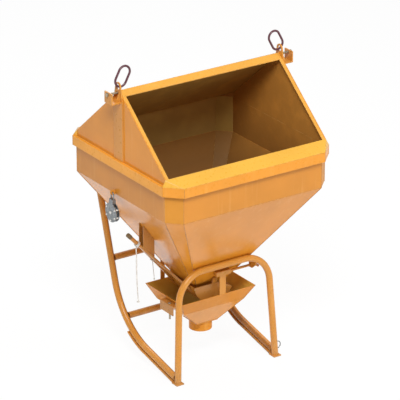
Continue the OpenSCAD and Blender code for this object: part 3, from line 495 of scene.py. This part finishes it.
def hung(x, y, z):
    """A point given from the rim's top, in the shared frame."""
    return Vector((x, y, z - EYE_HEIGHT))


def spaced(line, step, closed=False):
    """Points along a polyline, no further apart than a step."""
    ends = line[1:] + line[:1] if closed else line[1:]
    points = []
    for first, last in zip(line, ends):
        count = max(1, math.ceil((last - first).length / step))
        points += [first.lerp(last, k / count) for k in range(count)]
    if not closed:
        points.append(line[-1])
    return points


def swept(points, radii, sides, closed=False):
    """Vertices and faces of a tube along points, with a radius for each point."""
    rings = len(points)
    vertices = []
    faces = []
    across = None
    for i, point in enumerate(points):
        before = points[i - 1] if i or closed else point
        after = points[(i + 1) % rings] if i < rings - 1 or closed else point
        along = (after - before).normalized()
        if across is None:
            across = along.orthogonal().normalized()
        across = (across - along * across.dot(along)).normalized()
        up = along.cross(across)
        for k in range(sides):
            turn = 2 * math.pi * k / sides
            vertices.append(point + radii[i] * (math.cos(turn) * across + math.sin(turn) * up))
    for i in range(rings if closed else rings - 1):
        for k in range(sides):
            here = i * sides
            there = (i + 1) % rings * sides
            faces.append((here + k, here + (k + 1) % sides, there + (k + 1) % sides, there + k))
    if not closed:
        faces.append(tuple(range(sides - 1, -1, -1)))
        faces.append(tuple((rings - 1) * sides + k for k in range(sides)))
    return vertices, faces


def joined(parts):
    """One list of vertices and faces from several."""
    vertices = []
    faces = []
    for more_vertices, more_faces in parts:
        start = len(vertices)
        vertices += more_vertices
        faces += [tuple(start + k for k in face) for face in more_faces]
    return vertices, faces


BEAD_STEP = 0.0035
BEAD_SIDES = 6
RIPPLE_SHARE = 0.16
RIPPLE_TURN = 2.1
RIPPLE_NOISE_SCALE = 90


def bead(name, lines, radius, body="bucket", closed=False):
    """Weld beads along lines: a run of small overlapping ripples."""
    parts = []
    for line in lines:
        points = spaced(line, BEAD_STEP, closed)
        radii = []
        for i, point in enumerate(points):
            wave = math.sin(RIPPLE_TURN * i)
            rough = noise.noise(point * RIPPLE_NOISE_SCALE)
            radii.append(radius * (1 + RIPPLE_SHARE * wave + RIPPLE_SHARE * rough))
        parts.append(swept(points, radii, BEAD_SIDES, closed))
    vertices, faces = joined(parts)
    return shown(name, vertices, faces, weld_paint, body)


def mirrored(line):
    """A line on the other side of the bucket's middle plane."""
    return [Vector((-point.x, point.y, point.z)) for point in line]


def both(lines):
    """Lines with their mirrored twins."""
    return lines + [mirrored(line) for line in lines]


def ring(half, cut):
    """The eight corners of a box with cut corners, seen from above."""
    half_x, half_y = half
    return [(-half_x + cut, -half_y), (half_x - cut, -half_y),
            (half_x, -half_y + cut), (half_x, half_y - cut),
            (half_x - cut, half_y), (-half_x + cut, half_y),
            (-half_x, half_y - cut), (-half_x, -half_y + cut)]


CIRCLE_POINTS = 40


def circle_line(centre, first, second, radius, count=CIRCLE_POINTS):
    """Points of a circle in the plane of two directions."""
    turns = [2 * math.pi * k / count for k in range(count)]
    return [centre + radius * (math.cos(turn) * first + math.sin(turn) * second) for turn in turns]


X = Vector((1, 0, 0))
Y = Vector((0, 1, 0))
Z = Vector((0, 0, 1))
WELD = 0.0022
FINE_WELD = 0.0015

# Welds of the shell
bead("hopper_corner_welds",
     [[hung(*top, -WALL_HEIGHT), hung(*low, -HOPPER_DROP)]
      for top, low in zip(ring(WALL_HALF, WALL_CUT), ring(OUTLET_HALF, OUTLET_CUT))], WELD)
bead("wall_corner_welds",
     [[hung(*corner, -RIM_HEIGHT), hung(*corner, -WALL_HEIGHT)]
      for corner in ring(WALL_HALF, WALL_CUT)], FINE_WELD)
bead("rim_corner_welds",
     [[hung(*corner, -FINE_WELD), hung(*corner, -RIM_HEIGHT)]
      for corner in ring(RIM_HALF, RIM_CUT)], FINE_WELD)
bead("gable_foot_welds", both([
    [hung(GABLE_HALF, -SILL_Y, 0), hung(GABLE_HALF, -LUG_HALF, 0)],
    [hung(GABLE_HALF, LUG_HALF, 0), hung(GABLE_HALF, EAVE_Y, 0)]]), WELD)
bead("roof_edge_welds", both([
    [hung(GABLE_INNER, 0, RIDGE_HEIGHT), hung(GABLE_INNER, EAVE_Y, SILL_HEIGHT)]]), FINE_WELD)
bead("eave_weld",
     [[hung(-GABLE_HALF, EAVE_Y, SILL_HEIGHT), hung(GABLE_HALF, EAVE_Y, SILL_HEIGHT)]], FINE_WELD)
bead("neck_weld",
     [[hung(*corner, -HOPPER_DROP) for corner in ring(OUTLET_HALF, OUTLET_CUT)]], WELD, closed=True)

# Welds of the lifting lugs
bead("lug_edge_welds", both([
    [hung(GABLE_HALF, side * LUG_HALF, 0), hung(GABLE_HALF, side * LUG_HALF, BRACKET_LOW)]
    for side in (-1, 1)]), WELD)
gusset_lines = []
for side in (-1, 1):
    for place in GUSSET_SIDES:
        gusset_lines.append([hung(LUG_FACE, side * place, BRACKET_LOW + 2 * WELD),
                             hung(LUG_FACE, side * place, BRACKET_LOW + GUSSET_HEIGHT)])
gusset_lines.append([hung(LUG_FACE, -BRACKET_HALF, BRACKET_LOW), hung(LUG_FACE, BRACKET_HALF, BRACKET_LOW)])
bead("gusset_welds", both(gusset_lines), FINE_WELD)

# Welds of the stand, set by the boxes of the tubes they join
stand_lines = []
for name in ("upper_crossbar", "lower_crossbar"):
    low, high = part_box(name)
    middle = (low + high) / 2
    for end in (low.x, high.x):
        stand_lines.append(circle_line(Vector((end, middle.y, middle.z)), Y, Z, TUBE_RADIUS))
pad_low, pad_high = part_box("foot_pads")
foot_y = (pad_low.y + pad_high.y) / 2
for side in (-1, 1):
    stand_lines.append(circle_line(Vector((side * FOOT_HALF, foot_y, pad_high.z)), X, Y, TUBE_RADIUS))
bead("stand_welds", stand_lines, WELD, closed=True)

# Welds of the funnel
spout_line = circle_line(hung(0, FUNNEL_Y, -SPOUT_TOP), X, Y, SPOUT_RADIUS)
bead("spout_weld", [spout_line], FINE_WELD, closed=True)


def funnel_corners(half, drop):
    """The four corners of the funnel at a drop below the rim."""
    half_x, half_y = half
    return [hung(side_x * half_x, FUNNEL_Y + side_y * half_y, -drop)
            for side_x, side_y in ((-1, -1), (1, -1), (1, 1), (-1, 1))]


skirt_tops = funnel_corners(FUNNEL_HALF, FUNNEL_DROP)
skirt_feet = funnel_corners(SKIRT_HALF, SKIRT_DROP)
cone_feet = funnel_corners((FLANGE_HALF, FLANGE_HALF), CONE_DROP)
bead("funnel_corner_welds",
     [list(line) for line in zip(skirt_tops, skirt_feet)]
     + [list(line) for line in zip(skirt_feet, cone_feet)], FINE_WELD)
bead("flange_weld", [cone_feet], FINE_WELD, closed=True)


def eased(before, first, last, after, share):
    """A point of the smooth curve that runs through four points, between the middle two."""
    slope = last - before
    bend = 2 * before - 5 * first + 4 * last - after
    twist = 3 * first - before - 3 * last + after
    return 0.5 * (2 * first + slope * share + bend * share ** 2 + twist * share ** 3)


def smooth_route(start, route, steps):
    """The source's own curve through the route, with more points."""
    knots = [start + Vector(place) for place in route]
    points = []
    for i in range(len(knots) - 1):
        before = knots[max(i - 1, 0)]
        after = knots[min(i + 2, len(knots) - 1)]
        points += [eased(before, knots[i], knots[i + 1], after, k / steps) for k in range(steps)]
    return points + [knots[-1]]


STRANDS = 3
STRAND_SHARE = 0.52
LAY_DIAMETERS = 3.2
STRAND_SIDES = 7


def laid_rope(points, radius, closed=False):
    """Vertices and faces of a three-strand laid rope along points."""
    strand = radius * STRAND_SHARE
    offset = radius - strand
    pitch = LAY_DIAMETERS * 2 * radius
    parts = []
    rings = len(points)
    total = 0.0
    for first, last in zip(points, points[1:] + points[:1] if closed else points[1:]):
        total += (last - first).length
    twists = max(1, round(total / pitch))
    for k in range(STRANDS):
        walked = 0.0
        across = None
        line = []
        for i, point in enumerate(points):
            before = points[i - 1] if i or closed else point
            after = points[(i + 1) % rings] if i < rings - 1 or closed else point
            along = (after - before).normalized()
            if across is None:
                across = along.orthogonal().normalized()
            across = (across - along * across.dot(along)).normalized()
            if i:
                walked += (point - points[i - 1]).length
            turn = 2 * math.pi * (walked / total * twists + k / STRANDS)
            up = along.cross(across)
            line.append(point + offset * (math.cos(turn) * across + math.sin(turn) * up))
        parts.append(swept(line, [strand] * len(line), STRAND_SIDES, closed))
    return joined(parts)


ROPE_STEP = 0.0022
KNOT_TURNS = 2
KNOT_POINTS = 72
KNOT_REACH_SHARE = 1.05
KNOT_SPREAD_SHARE = 0.62
KNOT_ROPE_SHARE = 0.92


def stopper_knot(name, centre, radius, body):
    """An overhand stopper knot: the rope's own end drawn up in a trefoil."""
    reach = KNOT_REACH_SHARE * radius
    spread = KNOT_SPREAD_SHARE * reach
    line = []
    for k in range(KNOT_POINTS):
        turn = 2 * math.pi * k / KNOT_POINTS
        line.append(centre + Vector((
            spread * (math.sin(turn) + KNOT_TURNS * math.sin(KNOT_TURNS * turn)),
            spread * (math.cos(turn) - KNOT_TURNS * math.cos(KNOT_TURNS * turn)),
            -reach * math.sin((KNOT_TURNS + 1) * turn))))
    vertices, faces = laid_rope(line, KNOT_ROPE_SHARE * radius, closed=True)
    return shown(name, vertices, faces, rope_fibre, body)


def hanging_cord(name, start, route, radius, body):
    """A laid rope with its stopper knot, in place of a cord's plain solid."""
    path = smooth_route(start, route, ROUTE_STEPS)
    points = spaced(path, ROPE_STEP)
    vertices, faces = laid_rope(points, radius)
    piece = shown(name + "_strands", vertices, faces, rope_fibre, body)
    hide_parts(name)
    knot = stopper_knot(name + "_knot", path[-1] + Vector((0, 0, radius)), radius, body)


hanging_cord("pull_rope", PULL_START, PULL_ROUTE, ROPE_RADIUS, "pull_rope")
hanging_cord("thin_cord", THIN_START, THIN_ROUTE, THIN_RADIUS, "thin_cord")

# The rope's two turns round the lever's handle, and the thin cord's loop round an arm
lever_down = Vector((-math.sin(LEVER_SLOPE), 0, -math.cos(LEVER_SLOPE)))
lever_along = Vector((math.cos(LEVER_SLOPE), 0, -math.sin(LEVER_SLOPE)))
TIE_RADIUS = HANDLE_RADIUS + ROPE_RADIUS + SEAT_GAP
TIE_POINTS = 64
tie_parts = []
for side in (-1, 1):
    centre = LEVER_END + (TIE_ALONG + side * (ROPE_RADIUS + TIE_TURN_GAP / 2)) * lever_along
    turn_line = circle_line(centre - EYE_HEIGHT * Z, Y, lever_down, TIE_RADIUS, TIE_POINTS)
    tie_parts.append(laid_rope(turn_line, ROPE_RADIUS, closed=True))
tie_vertices, tie_faces = joined(tie_parts)
tie_turns = shown("rope_tie_turns", tie_vertices, tie_faces, rope_fibre, "gate")
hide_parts("rope_ties")

loop_centre = LEVER_END + THIN_TIE_ALONG * lever_along + THIN_TIE_SIDE * Y - EYE_HEIGHT * Z
loop_half_wide = ARM_WIDTH / 2 + THIN_RADIUS
loop_half_high = ARM_THICK / 2 + THIN_RADIUS
LOOP_SHAPE_POWER = 0.35
LOOP_POINTS = 96
loop_line = []
for k in range(LOOP_POINTS):
    turn = 2 * math.pi * k / LOOP_POINTS
    wide = math.copysign(abs(math.cos(turn)) ** LOOP_SHAPE_POWER, math.cos(turn))
    high = math.copysign(abs(math.sin(turn)) ** LOOP_SHAPE_POWER, math.sin(turn))
    loop_line.append(loop_centre + loop_half_wide * wide * Y + loop_half_high * high * lever_down)
loop_vertices, loop_faces = laid_rope(spaced(loop_line, ROPE_STEP, True), THIN_RADIUS, closed=True)
shown("thin_cord_loop", loop_vertices, loop_faces, rope_fibre, "gate")

# Floor under the feet, pale all the way to the horizon
FLOOR_HALF = 60.0
FLOOR_GAP = 0.0005
FLOOR_WHITE_SHARE = 0.92
floor_z = cad_box[0][2] - FLOOR_GAP
floor_mesh = bpy.data.meshes.new("floor")
floor_mesh.from_pydata(
    [(-FLOOR_HALF, -FLOOR_HALF, floor_z), (FLOOR_HALF, -FLOOR_HALF, floor_z),
     (FLOOR_HALF, FLOOR_HALF, floor_z), (-FLOOR_HALF, FLOOR_HALF, floor_z)], [], [(0, 1, 2, 3)])
floor = bpy.data.objects.new("floor", floor_mesh)
bpy.context.scene.collection.objects.link(floor)


def pale_floor():
    """White to the eye and to gloss, with part of the object's shadow left on it."""
    material = bpy.data.materials.new("floor")
    material.use_nodes = True
    tree = material.node_tree
    tree.nodes.clear()
    output = tree.nodes.new("ShaderNodeOutputMaterial")
    lit = add(tree, "ShaderNodeBsdfDiffuse", None, {"Color": (0.94, 0.94, 0.94, 1.0)})
    glow = add(tree, "ShaderNodeEmission", None, {"Color": (1.0, 1.0, 1.0, 1.0), "Strength": 1.0})
    path = tree.nodes.new("ShaderNodeLightPath")
    seen = math_node(tree, "ADD", path.outputs["Is Camera Ray"], path.outputs["Is Glossy Ray"])
    seen = math_node(tree, "ADD", seen, path.outputs["Is Transmission Ray"])
    share = math_node(tree, "MULTIPLY", seen, FLOOR_WHITE_SHARE)
    blend = add(tree, "ShaderNodeMixShader", None,
                {0: share, 1: lit.outputs["BSDF"], 2: glow.outputs["Emission"]})
    tree.links.new(blend.outputs["Shader"], output.inputs["Surface"])
    return material


floor_mesh.materials.append(pale_floor())


def studio_world():
    """Soft even light, white where the camera looks past the floor."""
    world = bpy.data.worlds.new("studio")
    bpy.context.scene.world = world
    world.use_nodes = True
    tree = world.node_tree
    tree.nodes.clear()
    output = tree.nodes.new("ShaderNodeOutputWorld")
    soft = add(tree, "ShaderNodeBackground", None,
               {"Color": (1.0, 0.99, 0.97, 1.0), "Strength": 0.42})
    white = add(tree, "ShaderNodeBackground", None, {"Color": (1.0, 1.0, 1.0, 1.0), "Strength": 1.0})
    path = tree.nodes.new("ShaderNodeLightPath")
    seen = math_node(tree, "ADD", path.outputs["Is Camera Ray"], path.outputs["Is Transmission Ray"])
    blend = add(tree, "ShaderNodeMixShader", None,
                {0: seen, 1: soft.outputs["Background"], 2: white.outputs["Background"]})
    tree.links.new(blend.outputs["Shader"], output.inputs["Surface"])


studio_world()


def area_light(name, place, aim, size, power, in_gloss=True):
    """A round soft lamp, which glossy surfaces mirror or not."""
    data = bpy.data.lights.new(name, "AREA")
    data.shape = "DISK"
    data.size = size
    data.energy = power
    lamp = bpy.data.objects.new(name, data)
    lamp.location = place
    lamp.visible_glossy = in_gloss
    lamp.rotation_euler = (Vector(aim) - Vector(place)).to_track_quat("-Z", "Y").to_euler()
    bpy.context.scene.collection.objects.link(lamp)


OBJECT_MIDDLE = (0, 0, -0.9)
area_light("key_light", (-3.0, -4.6, 5.6), OBJECT_MIDDLE, size=3.0, power=530)
area_light("fill_light", (5.0, -4.0, 2.0), OBJECT_MIDDLE, size=4.0, power=150, in_gloss=False)
area_light("back_light", (2.0, 5.5, 4.5), OBJECT_MIDDLE, size=3.0, power=200)

bpy.context.scene.view_settings.view_transform = "Standard"
